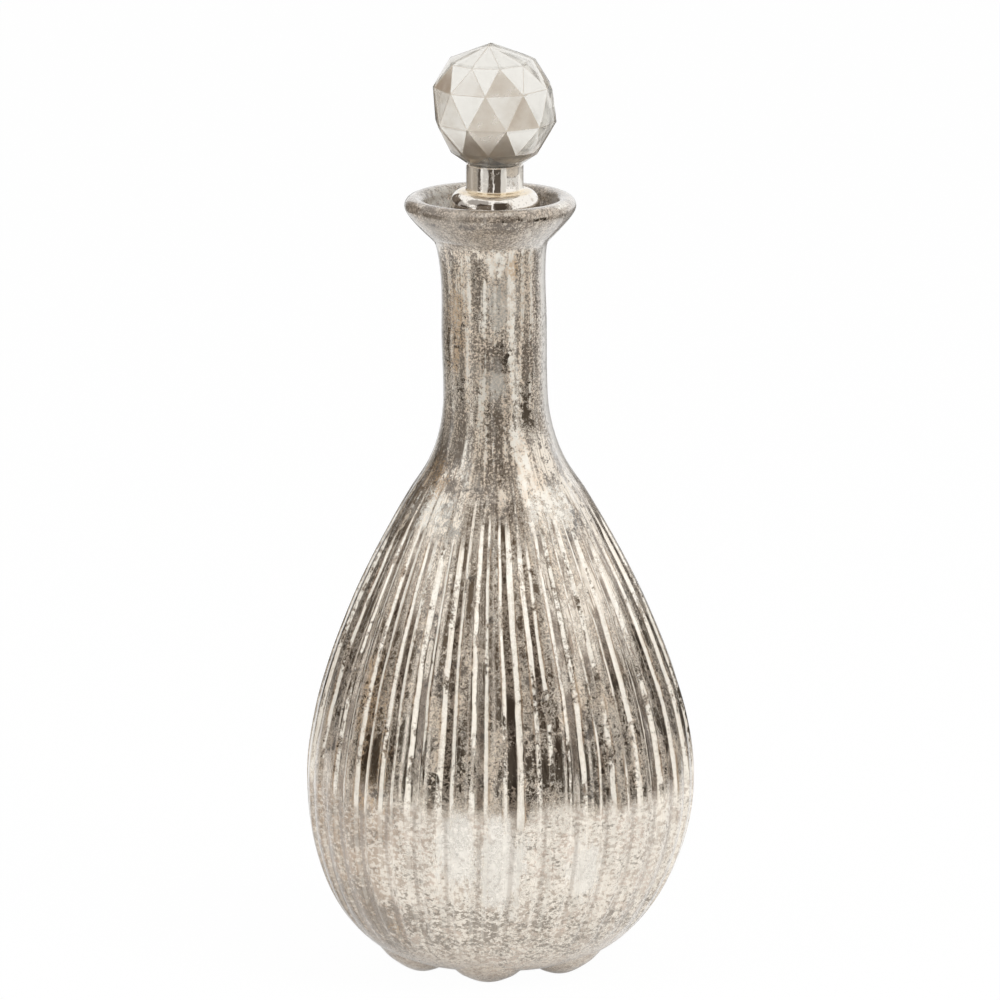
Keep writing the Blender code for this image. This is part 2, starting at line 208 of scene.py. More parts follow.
def body_outline(steps):
    """The bottle's outer side from the edge of its base to the foot of its neck, over the ribs."""
    base = Vector((BASE_RADIUS, BASE_LEVEL))
    belly = Vector((BELLY_RADIUS, BELLY_LEVEL))
    shoulder = Vector((SHOULDER_RADIUS, SHOULDER_LEVEL))
    neck = Vector((NECK_RADIUS, NECK_LEVEL))
    low_rise = BELLY_LEVEL - BASE_LEVEL
    high_rise = SHOULDER_LEVEL - BELLY_LEVEL
    throat_rise = NECK_LEVEL - SHOULDER_LEVEL
    slope = SHOULDER_SLOPE_SHARE * (NECK_RADIUS - SHOULDER_RADIUS) / throat_rise
    base_pull = Vector((BASE_PULL_SHARE * (BELLY_RADIUS - BASE_RADIUS), 0))
    low_pull = Vector((0, BELLY_LOW_PULL_SHARE * low_rise))
    high_pull = Vector((0, BELLY_HIGH_PULL_SHARE * high_rise))
    bend_pull = SHOULDER_PULL_SHARE * Vector((slope, 1))
    neck_pull = Vector((0, THROAT_PULL_SHARE * throat_rise))
    return (
        [base]
        + run(base, base_pull, belly, low_pull, steps[0])
        + run(belly, high_pull, shoulder, high_rise * bend_pull, steps[1])
        + run(shoulder, throat_rise * bend_pull, neck, neck_pull, steps[2])
    )


def funnel_outline(steps):
    """The inside of the flared mouth, from the top of the neck's bore up to the lip."""
    mouth = Vector((BORE_RADIUS, MOUTH_LEVEL))
    lip = Vector((MOUTH_RADIUS, LIP_LEVEL))
    rise = LIP_LEVEL - MOUTH_LEVEL
    up = Vector((0, FUNNEL_PULL_SHARE * rise))
    lip_up = Vector((0, LIP_PULL_SHARE * rise))
    return [mouth] + run(mouth, up, lip, lip_up, steps)


def mouth_outline():
    """The neck's outer side, the flare, finer where it is creased, and the round bead of the lip."""
    neck = Vector((NECK_RADIUS, NECK_LEVEL))
    spread = Vector((NECK_RADIUS, SPREAD_LEVEL))
    foot = Vector((FLARE_RADIUS, FLARE_LEVEL))
    lip = Vector((LIP_RADIUS, LIP_LEVEL))
    up = Vector((0, SPREAD_LEVEL - NECK_LEVEL)) / 3
    flare = run(foot, Vector(FLARE_PULL), lip, Vector(FLARE_LIP_PULL), FLARE_FINE_STEPS)[:-1]
    flare = [
        point for step, point in enumerate(flare)
        if abs(point.y - CREASE_LEVEL) < CREASE_WIDTH or step % FLARE_SKIP == FLARE_SKIP - 1
    ]
    centre = Vector((LIP_RADIUS - LIP_BEAD, LIP_LEVEL))
    return (
        run(neck, up, spread, up, NECK_STEPS)
        + run(spread, Vector(SPREAD_PULL), foot, Vector(FLARE_FOOT_PULL), SPREAD_STEPS)
        + flare
        + arc(centre, LIP_BEAD, 0, math.pi, BEAD_STEPS)
    )


def lean_at(level):
    """How far to the right the hand-blown glass leans at a height."""
    for (low, low_lean), (high, high_lean) in zip(LEAN_BY_LEVEL, LEAN_BY_LEVEL[1:]):
        if level <= high:
            return low_lean + (high_lean - low_lean) * smooth_step((level - low) / (high - low))
    return LEAN_BY_LEVEL[-1][1]


def press_ribs(piece):
    """Presses the mould's grooves into the blown side, each a little different from its neighbours."""
    chance = random.Random(36)
    grooves = [
        (chance.uniform(0.85, 1.2), chance.uniform(0.8, 1.25), chance.uniform(-1, 1) * RIB_TOP_SPREAD)
        for rib in range(RIB_COUNT)
    ]
    tilts = [chance.uniform(-1, 1) for rib in range(RIB_COUNT)]
    pitch = 2 * math.pi / RIB_COUNT
    flank = GROOVE_EDGE_SHARE - GROOVE_FLOOR_SHARE
    names = ("rib_place", "rib_side", "rib_strength")
    for name in names:
        piece.data.attributes.new(name, "FLOAT", "POINT")
    places, sides, strengths = (piece.data.attributes[name].data for name in names)
    for vertex in piece.data.vertices:
        x, y, level = vertex.co
        radius = math.hypot(x, y)
        if radius < MERGE_DISTANCE or level > NECK_LEVEL:
            continue
        ribs = math.atan2(x, -y) / pitch
        groove = math.floor(ribs + 0.5)
        side = math.copysign(1, ribs - groove)
        point = round(abs(ribs - groove) * 2 * HALF_RIB_POINTS)
        aside = RIB_POINT_SHARES[point]
        width, depth, top = grooves[groove % RIB_COUNT]
        below_top = smooth_step((SHOULDER_LEVEL - RIB_TOP_DROP + top - level) / RIB_TOP_FADE)
        above_base = smooth_step((level - BASE_LEVEL - RIB_BASE_RISE) / RIB_BASE_FADE)
        ramp = min(max((GROOVE_EDGE_SHARE - aside) / flank, 0), 1)
        press = (1 - CROWN_SHARE) * depth * ramp
        press += CROWN_SHARE * (1 + math.cos(2 * math.pi * aside)) / 2
        faint = FAINT_SHARE * smooth_step((SHOULDER_LEVEL + FAINT_TOP_RISE - level) / FAINT_FADE)
        press *= GROOVE_DEPTH * radius / BELLY_RADIUS * max(below_top, faint) * above_base
        places[vertex.index].value = aside
        sides[vertex.index].value = side * math.sin(2 * math.pi * aside) * tilts[groove % RIB_COUNT]
        strengths[vertex.index].value = below_top * above_base
        aside *= width + (1 - width) * aside * 2
        drift = RIB_DRIFT * noise.noise(vertex.co * RIB_DRIFT_SCALE) / BELLY_RADIUS
        angle = RIB_TURN + (groove + side * aside) * pitch + drift
        radius -= press
        vertex.co.x = radius * math.sin(angle)
        vertex.co.y = -radius * math.cos(angle)


def press_crease(piece):
    """Presses in the line that the tool left round the foot of the flare, deepest at the front left."""
    for vertex in piece.data.vertices:
        x, y, level = vertex.co
        across = 1 - smooth_step(abs(level - CREASE_LEVEL) / CREASE_WIDTH)
        turned = abs(math.atan2(x, -y) - CREASE_TURN)
        along = 1 - smooth_step(turned / CREASE_SPAN)
        inward = Vector((-x, -y, 0)).normalized()
        vertex.co += CREASE_DEPTH * across * (0.15 + 0.85 * along) * inward


def wave_and_lean(piece):
    """Gives the side its hand-blown waviness, and lets it lean."""
    for vertex in piece.data.vertices:
        outward = Vector((vertex.co.x, vertex.co.y, 0))
        if outward.length > MERGE_DISTANCE:
            wave = WAVE_DEPTH * noise.noise(vertex.co * WAVE_SCALE)
            vertex.co += wave * outward.normalized()
        vertex.co.x += lean_at(vertex.co.z)


def select_rim():
    """Selects the open edges of the mesh that is being edited."""
    bpy.ops.mesh.select_all(action="DESELECT")
    bpy.ops.mesh.select_mode(type="EDGE")
    bpy.ops.mesh.select_non_manifold(
        extend=False, use_wire=False, use_multi_face=False, use_non_contiguous=False
    )


def edit(piece):
    """Opens the mesh of a piece for editing, with all of it selected."""
    bpy.context.view_layer.objects.active = piece
    piece.select_set(True)
    bpy.ops.object.mode_set(mode="EDIT")
    bpy.ops.mesh.select_all(action="SELECT")


def line_inside(piece, levels):
    """Carries the open rim down the inside of the mouth and body, ring by ring, and closes the floor."""
    edit(piece)
    select_rim()
    before = Vector((MOUTH_RADIUS, LIP_LEVEL))
    lean = lean_at(LIP_LEVEL)
    for point in levels:
        bpy.ops.mesh.extrude_edges_move(TRANSFORM_OT_translate={"value": (0, 0, point.y - before.y)})
        share = point.x / before.x
        bpy.ops.transform.resize(value=(share, share, 1), center_override=(lean, 0, point.y))
        aside = lean_at(point.y) if abs(point.y - LIP_LEVEL) < LIP_LEVEL - MOUTH_LEVEL else 0
        aside = aside * smooth_step((point.y - MOUTH_LEVEL) / (LIP_LEVEL - MOUTH_LEVEL))
        bpy.ops.transform.translate(value=(aside - lean, 0, 0))
        lean = aside
        before = point
    bpy.ops.mesh.edge_face_add()
    bpy.ops.mesh.poke()


def settle(piece, smooth_angle=math.radians(40)):
    """Turns all faces outwards and shades them smooth between sharp edges."""
    start_from_nothing()
    edit(piece)
    bpy.ops.mesh.normals_make_consistent(inside=False)
    bpy.ops.object.mode_set(mode="OBJECT")
    bpy.ops.object.shade_smooth_by_angle(angle=smooth_angle)


def make_bottle():
    base = Vector((BASE_RADIUS, BASE_LEVEL))
    crown = Vector((0, BASE_LEVEL + KICK))
    flat = Vector((KICK_PULL_SHARE * BASE_RADIUS, 0))
    kick = [crown] + run(crown, flat, base, flat, KICK_STEPS)[:-1]
    side = body_outline(OUTER_STEPS)
    piece = spin_outline("bottle_glass", kick + side + mouth_outline(), 2 * RIB_COUNT * HALF_RIB_POINTS)
    press_ribs(piece)
    press_crease(piece)
    wave_and_lean(piece)
    inner = inset(body_outline(INNER_STEPS), WALL)
    floor = Vector((KICK_PULL_SHARE * BASE_RADIUS, inner[0].y))
    line_inside(piece, funnel_outline(FLARE_STEPS)[-2::-1] + inner[::-1] + [floor])
    settle(piece)
    return piece


class Wire:
    """A socket's value; arithmetic on it adds Math nodes beside it."""

    def __init__(self, finish, socket):
        self.finish = finish
        self.socket = socket

    def math(self, operation, *values):
        return self.finish.node("Math", {"operation": operation}, dict(enumerate(values)))

    def __add__(self, other):
        return self.math("ADD", self, other)

    __radd__ = __add__

    def __sub__(self, other):
        return self.math("SUBTRACT", self, other)

    def __rsub__(self, other):
        return self.math("SUBTRACT", other, self)

    def __mul__(self, other):
        return self.math("MULTIPLY", self, other)

    def __abs__(self):
        return self.math("ABSOLUTE", self)


class Finish:
    """A node tree, with short ways to add the nodes that these finishes use."""

    MIX_COLOR = (0, 6, 7, 2)

    def __init__(self, tree):
        self.tree = tree
        self.shader = tree.nodes.get("Principled BSDF")

    def feed(self, socket, value):
        if isinstance(value, Wire):
            self.tree.links.new(value.socket, socket)
        else:
            socket.default_value = value

    def give(self, name, value):
        """Feeds one of the sockets of the material's own shader."""
        self.feed(self.shader.inputs[name], value)

    def end_with(self, shader):
        """Shows this shader in place of the material's own."""
        self.feed(self.tree.nodes["Material Output"].inputs["Surface"], shader)

    def node(self, kind, settings, values, output=0):
        """Adds a node, sets its settings first and then its sockets, and gives one of its outputs."""
        made = self.tree.nodes.new("ShaderNode" + kind)
        for setting, value in settings.items():
            setattr(made, setting, value)
        for socket, value in values.items():
            self.feed(made.inputs[socket], value)
        return Wire(self, made.outputs[output])

    def place(self, stretch=(1, 1, 1)):
        """Object coordinates, stretched."""
        plain = self.node("TexCoord", {}, {}, "Object")
        return self.node("Mapping", {}, {"Vector": plain, "Scale": stretch})

    def ray(self, kind):
        """One for rays of a kind, nought for others."""
        return self.node("LightPath", {}, {}, f"Is {kind} Ray")

    def along(self, place, axis):
        """How far a place lies along one axis."""
        return self.node("SeparateXYZ", {}, {"Vector": place}, axis)

    def noise(self, place, size, detail=3.0, roughness=0.6, twist=0.0):
        """Noise around nought, whose largest lumps are about as wide as size."""
        sockets = {"Vector": place, "Scale": 1 / size, "Detail": detail, "Roughness": roughness}
        return self.node("TexNoise", {}, {**sockets, "Distortion": twist}) - 0.5

    def between(self, value, low, high):
        """Nought below low, one above high, and smooth between them."""
        sockets = {"Value": value, "From Min": low, "From Max": high}
        return self.node("MapRange", {"interpolation_type": "SMOOTHSTEP"}, sockets)

    def band(self, value, rise, fall):
        """One between a rise and a fall, nought before and after them, and smooth in both."""
        return self.between(value, *rise) * (1 - self.between(value, *fall))

    def most(self, first, second):
        """The greater of two values."""
        return self.node("Math", {"operation": "MAXIMUM"}, {0: first, 1: second})

    def blend(self, share, low, high):
        """A colour between two, by share."""
        factor, first, second, result = self.MIX_COLOR
        low = (*low, 1) if isinstance(low, tuple) else low
        high = (*high, 1) if isinstance(high, tuple) else high
        return self.node("Mix", {"data_type": "RGBA"}, {factor: share, first: low, second: high}, result)

    def patch(self, place, ragged, centre, size):
        """One inside an ellipsoid with a ragged edge, nought outside it; centre and size in millimetres."""
        sockets = {"Vector": place, "Location": Vector(centre) / 1000, "Scale": Vector(size) / 1000}
        local = self.node("Mapping", {"vector_type": "TEXTURE"}, sockets)
        distance = self.node("VectorMath", {"operation": "LENGTH"}, {0: local}, "Value")
        return 1 - self.between(distance + ragged, 0.75, 1.05)

    def patches(self, place, ragged, places):
        """One inside any of several ragged ellipsoids, each given as its centre and size."""
        return reduce(self.most, [self.patch(place, ragged, centre, size) for centre, size in places])

    def attribute(self, name):
        """A number that the mesh carries."""
        return self.node("Attribute", {"attribute_type": "GEOMETRY", "attribute_name": name}, {}, "Fac")

    def bump(self, height, depth):
        """A normal for a height from nought to one, as deep as depth."""
        return self.node("Bump", {}, {"Height": height, "Distance": depth})


def new_finish(name, values):
    """A material with its own Finish; values are the sockets of its shader that stay the same all over."""
    material = bpy.data.materials.new(name)
    material.use_nodes = True
    finish = Finish(material.node_tree)
    for socket, value in values.items():
        finish.give(socket, value)
    return material, finish


def paint(piece, material):
    """Gives a piece one material all over, in place of any it has."""
    piece.data.materials.clear()
    piece.data.materials.append(material)


SILVER = (0.87, 0.785, 0.67)
FROST_LIGHT = (0.84, 0.71, 0.57)
FROST_DARK = (0.12, 0.092, 0.068)
FROST_COOL = (0.60, 0.58, 0.53)
LOW_CREAM = (0.90, 0.83, 0.73)
LOW_BEIGE = (0.56, 0.475, 0.395)
LOW_PINK = (0.66, 0.54, 0.45)
LOW_SPECK = (0.22, 0.18, 0.14)
PALE = (0.84, 0.80, 0.72)
TARNISH = (0.055, 0.042, 0.032)
COPPER = (0.55, 0.36, 0.19)
GROOVE_HIGHLIGHT_WHITE = (1.0, 0.945, 0.85)
GROOVE_HIGHLIGHT_BEIGE = (0.84, 0.76, 0.65)
GROOVE_BROWN = (0.20, 0.145, 0.105)
GROOVE_SHADE_GREY = (0.36, 0.30, 0.25)
GRAZING_SHEEN_PALE = (0.95, 0.93, 0.90)
STREAK_BROWN = (0.34, 0.25, 0.175)
AMBER_EDGE_SHADE = (0.44, 0.31, 0.20)
NECK_AMBER = (0.50, 0.35, 0.22)
DARK_VEIL = (0.11, 0.08, 0.055)
LEFT_VEIL = (0.40, 0.29, 0.20)
BASE_REFLECTED_SHADE = (0.48, 0.38, 0.295)
FUNNEL_VEIL = (0.24, 0.195, 0.155)
LOW_VEIL = (0.88, 0.87, 0.83)
COAT_ROUGHNESS = 0.03
SILVER_RELIEF = 0.00012
STREAK_ROUND_RADIUS = 0.045

# How wide the largest lumps of each noise are
GRIT_SIZE = 0.0021
PEPPER_SIZE = 0.0008
CLOUD_SIZE = 0.0200
DRIFT_SIZE = 0.0060
TORN_SIZE = 0.0026
STREAK_SIZE = 0.0065
FINE_SIZE = 0.0011
WANDER_SIZE = 0.0050
UNEVEN_SIZE = 0.0090
EDGE_SIZE = 0.0030
VEIN_SIZE = 0.0032
BLOT_SIZE = 0.0100
FLUSH_SIZE = 0.0140
LACE_SIZE = 0.0021
BANK_SIZE = 0.0090
SPECK_SIZE = 0.0016

# Heights, and distances to the side, between which each look comes or goes
NECK_RISE = (SHOULDER_LEVEL - 0.014, NECK_LEVEL - 0.010)
FUNNEL_RISE = (FLARE_LEVEL - 0.002, FLARE_LEVEL + 0.002)
BANDS = {
    "under_lip": ((LIP_LEVEL - 0.0050, LIP_LEVEL - 0.0032), (LIP_LEVEL - 0.0018, LIP_LEVEL)),
    "shoulder": ((0.148, 0.165), (0.182, 0.198)),
    "middle": ((0.062, 0.080), (0.110, 0.150)),
    "lowest": ((0.008, 0.016), (0.026, 0.042)),
}
LOW_FALL = (0.0655, 0.0725)
BASE_FALL = (0.004, 0.018)
LEFT_RISE = (0.022, 0.050)
RIGHT_RISE = (-0.010, 0.030)
LIT_RISE = (0.0, 0.008)

# Shares of the way from a groove to the next at which the parts of its painted highlight line, and the
# painted amber shade beside it, start and end
HOLLOW_FALL = (0.09, 0.14)
GROOVE_FALL = (0.03, 0.10)
HIGHLIGHT_RISE = (0.142, 0.170)
HIGHLIGHT_FALL = (0.252, 0.285)
HIGHLIGHT_CORE_BAND = ((0.150, 0.195), (0.205, 0.265))
AMBER_EDGE_SHADE_BAND = ((0.235, 0.260), (0.290, 0.360))

# Places of the marks that stand out, in millimetres: the centre and the half-sizes of ragged ellipsoids
PALE_AND_HIGHLIGHT_PATCHES = (
    ((0.7, -18.5, 254.6), (4.0, 8.0, 5.6)),
    ((-4.2, -17.8, 238.5), (1.6, 8.0, 11.0)),
    ((5.6, -17.5, 235.0), (1.5, 8.0, 16.5)),
    ((6.8, -17.0, 212.0), (1.6, 8.0, 14.0)),
    ((7.0, -20.0, 192.5), (1.8, 6.0, 8.0)),
    ((10.0, -22.0, 180.0), (2.2, 8.0, 8.0)),
    ((13.5, -25.0, 169.0), (2.8, 10.0, 8.0)),
    ((21.0, -21.0, 169.0), (10.0, 12.0, 8.5)),
    ((-10.5, -21.0, 186.0), (1.8, 6.0, 13.0)),
    ((-24.0, -20.0, 169.0), (8.5, 12.0, 7.5)),
    ((0.0, -52.0, 147.0), (1.4, 20.0, 19.0)),
    ((-16.5, 11.0, 271.5), (9.5, 17.0, 7.5)),
    # Painted highlight: the bright glint on the right of the lip
    ((22.7, -13.0, 274.5), (3.5, 6.0, 1.0)),
)
COOL_PATCHES = (
    ((0.8, -18.5, 239.5), (4.2, 8.0, 9.5)),
    ((1.0, -18.5, 213.0), (3.2, 8.0, 7.0)),
    ((-17.8, -27.0, 166.0), (8.5, 12.0, 8.5)),
)
COPPER_PATCHES = (
    ((-13.7, -12.2, 230.7), (4.2, 6.0, 17.5)),
    ((6.4, -17.2, 253.0), (1.5, 5.0, 4.2)),
    ((-21.3, -15.0, 179.0), (6.0, 10.0, 8.5)),
    ((-42.5, -48.0, 95.0), (6.0, 20.0, 28.0)),
    ((-47.7, -48.0, 70.0), (3.4, 10.0, 4.0)),
    ((-34.5, -36.0, 24.0), (3.4, 12.0, 3.6)),
)
DARK_AND_SHADE_PATCHES = (
    ((0.0, -18.0, 221.5), (6.0, 8.0, 6.0)),
    ((1.0, -19.0, 196.0), (3.0, 8.0, 9.0)),
    ((-0.5, -24.0, 181.5), (5.8, 10.0, 8.0)),
    ((-2.0, -28.0, 173.0), (4.0, 10.0, 6.0)),
    ((4.0, -30.0, 168.0), (3.6, 12.0, 6.0)),
    ((4.2, -26.0, 270.0), (9.0, 10.0, 3.4)),
    # Painted shade: the dark band under the left of the lip
    ((-22.4, -19.5, 273.3), (6.0, 10.0, 2.2)),
    ((-19.0, -12.0, 184.0), (3.0, 10.0, 11.0)),
    ((12.0, -13.0, 220.0), (3.0, 6.0, 10.0)),
)
FROSTY_PATCHES = (
    ((6.0, -64.0, 86.5), (17.0, 30.0, 11.0)),
    ((-11.0, -60.0, 115.0), (7.0, 30.0, 12.0)),
    ((26.0, -56.0, 105.0), (7.0, 30.0, 14.0)),
)
LOW_VEIL_PATCHES = (
    ((-13.0, -64.0, 56.0), (7.5, 30.0, 15.0)),
    ((2.0, -66.0, 52.0), (8.5, 30.0, 19.0)),
    ((31.0, -56.0, 48.0), (6.0, 30.0, 12.0)),
)
MARKS = {
    "pale": PALE_AND_HIGHLIGHT_PATCHES,
    "cold": COOL_PATCHES,
    "copper": COPPER_PATCHES,
    "dark": DARK_AND_SHADE_PATCHES,
    "frosty": FROSTY_PATCHES,
    "veiled": LOW_VEIL_PATCHES,
}


def silver_grain(finish, plain):
    """The noises that the silver's layers share."""
    drawn = finish.place(stretch=(1, 1, 0.3))
    outward = finish.node("VectorMath", {"operation": "NORMALIZE"}, {0: finish.place(stretch=(1, 1, 0))})
    ribwise = {0: outward, 1: (STREAK_ROUND_RADIUS,) * 3, 2: finish.place(stretch=(0, 0, 0.12))}
    ribwise = finish.node("VectorMath", {"operation": "MULTIPLY_ADD"}, ribwise)
    return SimpleNamespace(
        grit=finish.noise(plain, GRIT_SIZE, detail=4, roughness=0.8),
        pepper=finish.noise(plain, PEPPER_SIZE, detail=3, roughness=0.8),
        clouds=finish.noise(plain, CLOUD_SIZE, detail=2),
        drift=finish.noise(drawn, DRIFT_SIZE, detail=2),
        torn=finish.noise(drawn, TORN_SIZE, detail=5, roughness=0.85) * 3.6,
        streaks=finish.noise(ribwise, STREAK_SIZE, detail=4),
        fine=finish.noise(ribwise, FINE_SIZE, detail=3, roughness=0.65),
        wander=finish.noise(drawn, WANDER_SIZE),
        uneven=finish.noise(finish.place(stretch=(1, 1, 0.06)), UNEVEN_SIZE, detail=1),
    )


def silver_zones(finish, plain, uneven):
    """Masks for the parts of the bottle that look different, by height and by side."""
    aside = finish.along(plain, "X")
    height = finish.along(plain, "Z")
    torn_edge = finish.noise(plain, EDGE_SIZE) * 0.006 + uneven * 0.020
    soft_edge = finish.noise(plain, CLOUD_SIZE)
    return SimpleNamespace(
        **{name: finish.band(height, *band) for name, band in BANDS.items()},
        neck=finish.between(height, *NECK_RISE),
        funnel=finish.between(height, *FUNNEL_RISE),
        low=1 - finish.between(height + torn_edge, *LOW_FALL),
        base=1 - finish.between(height + soft_edge * 0.02, *BASE_FALL),
        left=finish.between(soft_edge * 0.05 - aside, *LEFT_RISE),
        right=finish.between(aside, *RIGHT_RISE),
        lit=finish.between(aside, *LIT_RISE),
    )


def frost_color(finish, zone, grain, mark):
    """Beige frost, from nearly brown to nearly white, and cooler in a few places."""
    shade = grain.pepper * (1.6 + zone.neck * 0.5 + zone.funnel * 0.5)
    shade = shade + grain.streaks * (0.5 + zone.neck * 0.8) * (1 - zone.funnel * 0.5)
    shade = shade + grain.grit * zone.funnel * 0.8 + (grain.streaks * 2.2 - 0.06) * zone.shoulder
    shade = shade + mark.pale * 0.10 + mark.frosty * 0.12 - mark.dark * 0.13
    shade = shade + zone.middle * 0.02 - zone.funnel * 0.05 - zone.neck * 0.03
    color = finish.blend(finish.between(shade, -0.20, 0.20), FROST_DARK, FROST_LIGHT)
    color = finish.blend(finish.between(grain.clouds, 0.02, 0.16) * 0.3, color, FROST_COOL)
    return finish.blend(mark.cold * 0.55, color, FROST_COOL)


def low_color(finish, plain, zone, mark):
    """The milky crackle low on the belly: cream lace over beige, with dark specks."""
    lying = finish.place(stretch=(1, 1, 1.6))
    lace = finish.noise(lying, LACE_SIZE, detail=2.5, roughness=0.75)
    banks = finish.noise(lying, BANK_SIZE)
    flush = finish.between(finish.noise(plain, FLUSH_SIZE, detail=2), -0.02, 0.14)
    color = finish.blend(flush * 0.8, LOW_BEIGE, LOW_PINK)
    color = finish.blend(zone.left * 0.85, color, LEFT_VEIL)
    creamy = finish.between(lace + banks * 0.5 + mark.veiled * 0.10 - zone.left * 0.045, -0.055, -0.015)
    color = finish.blend(creamy * (1 - zone.left * 0.30), color, LOW_CREAM)
    specks = finish.noise(lying, SPECK_SIZE, detail=2.5, roughness=0.75) + banks * 0.7
    specks = specks + zone.lowest * 0.11 + zone.left * 0.11 - mark.veiled * 0.08
    color = finish.blend(finish.between(specks, 0.130, 0.165) * 0.85, color, LOW_SPECK)
    return finish.blend(mark.veiled * 0.42, color, LOW_VEIL)


def painted_groove_highlights(finish, zone, grain, rib, ribbed):
    """The painted highlight line on each flank of a groove, its colour, and the painted amber shade beside
    it.
    """
    placed = rib + grain.wander * (0.06 + zone.middle * 0.05) + grain.uneven * 0.10
    wide = finish.between(finish.attribute("rib_side") + grain.uneven * 0.8, -0.35, 0.55)
    wide = wide * (1 - zone.middle * 0.7) * (1 - zone.low * 0.7)
    line = finish.between(placed + wide * 0.065, *HIGHLIGHT_RISE)
    line = line * (1 - finish.between(placed - wide * 0.080, *HIGHLIGHT_FALL)) * ribbed
    broken = grain.wander + grain.uneven + grain.grit * 0.8 - zone.middle * 0.06
    line = line * finish.between(broken, -0.22, -0.06)
    core = finish.band(placed, *HIGHLIGHT_CORE_BAND)
    white = finish.between(grain.grit + grain.clouds * 0.6 + core * 0.16, -0.08, 0.10)
    fringe = finish.band(placed - wide * 0.075, *AMBER_EDGE_SHADE_BAND) * ribbed * (1 - zone.low)
    fringe = fringe * finish.between(grain.drift + grain.uneven + grain.clouds, -0.05, 0.15)
    return line, finish.blend(white, GROOVE_HIGHLIGHT_BEIGE, GROOVE_HIGHLIGHT_WHITE), fringe


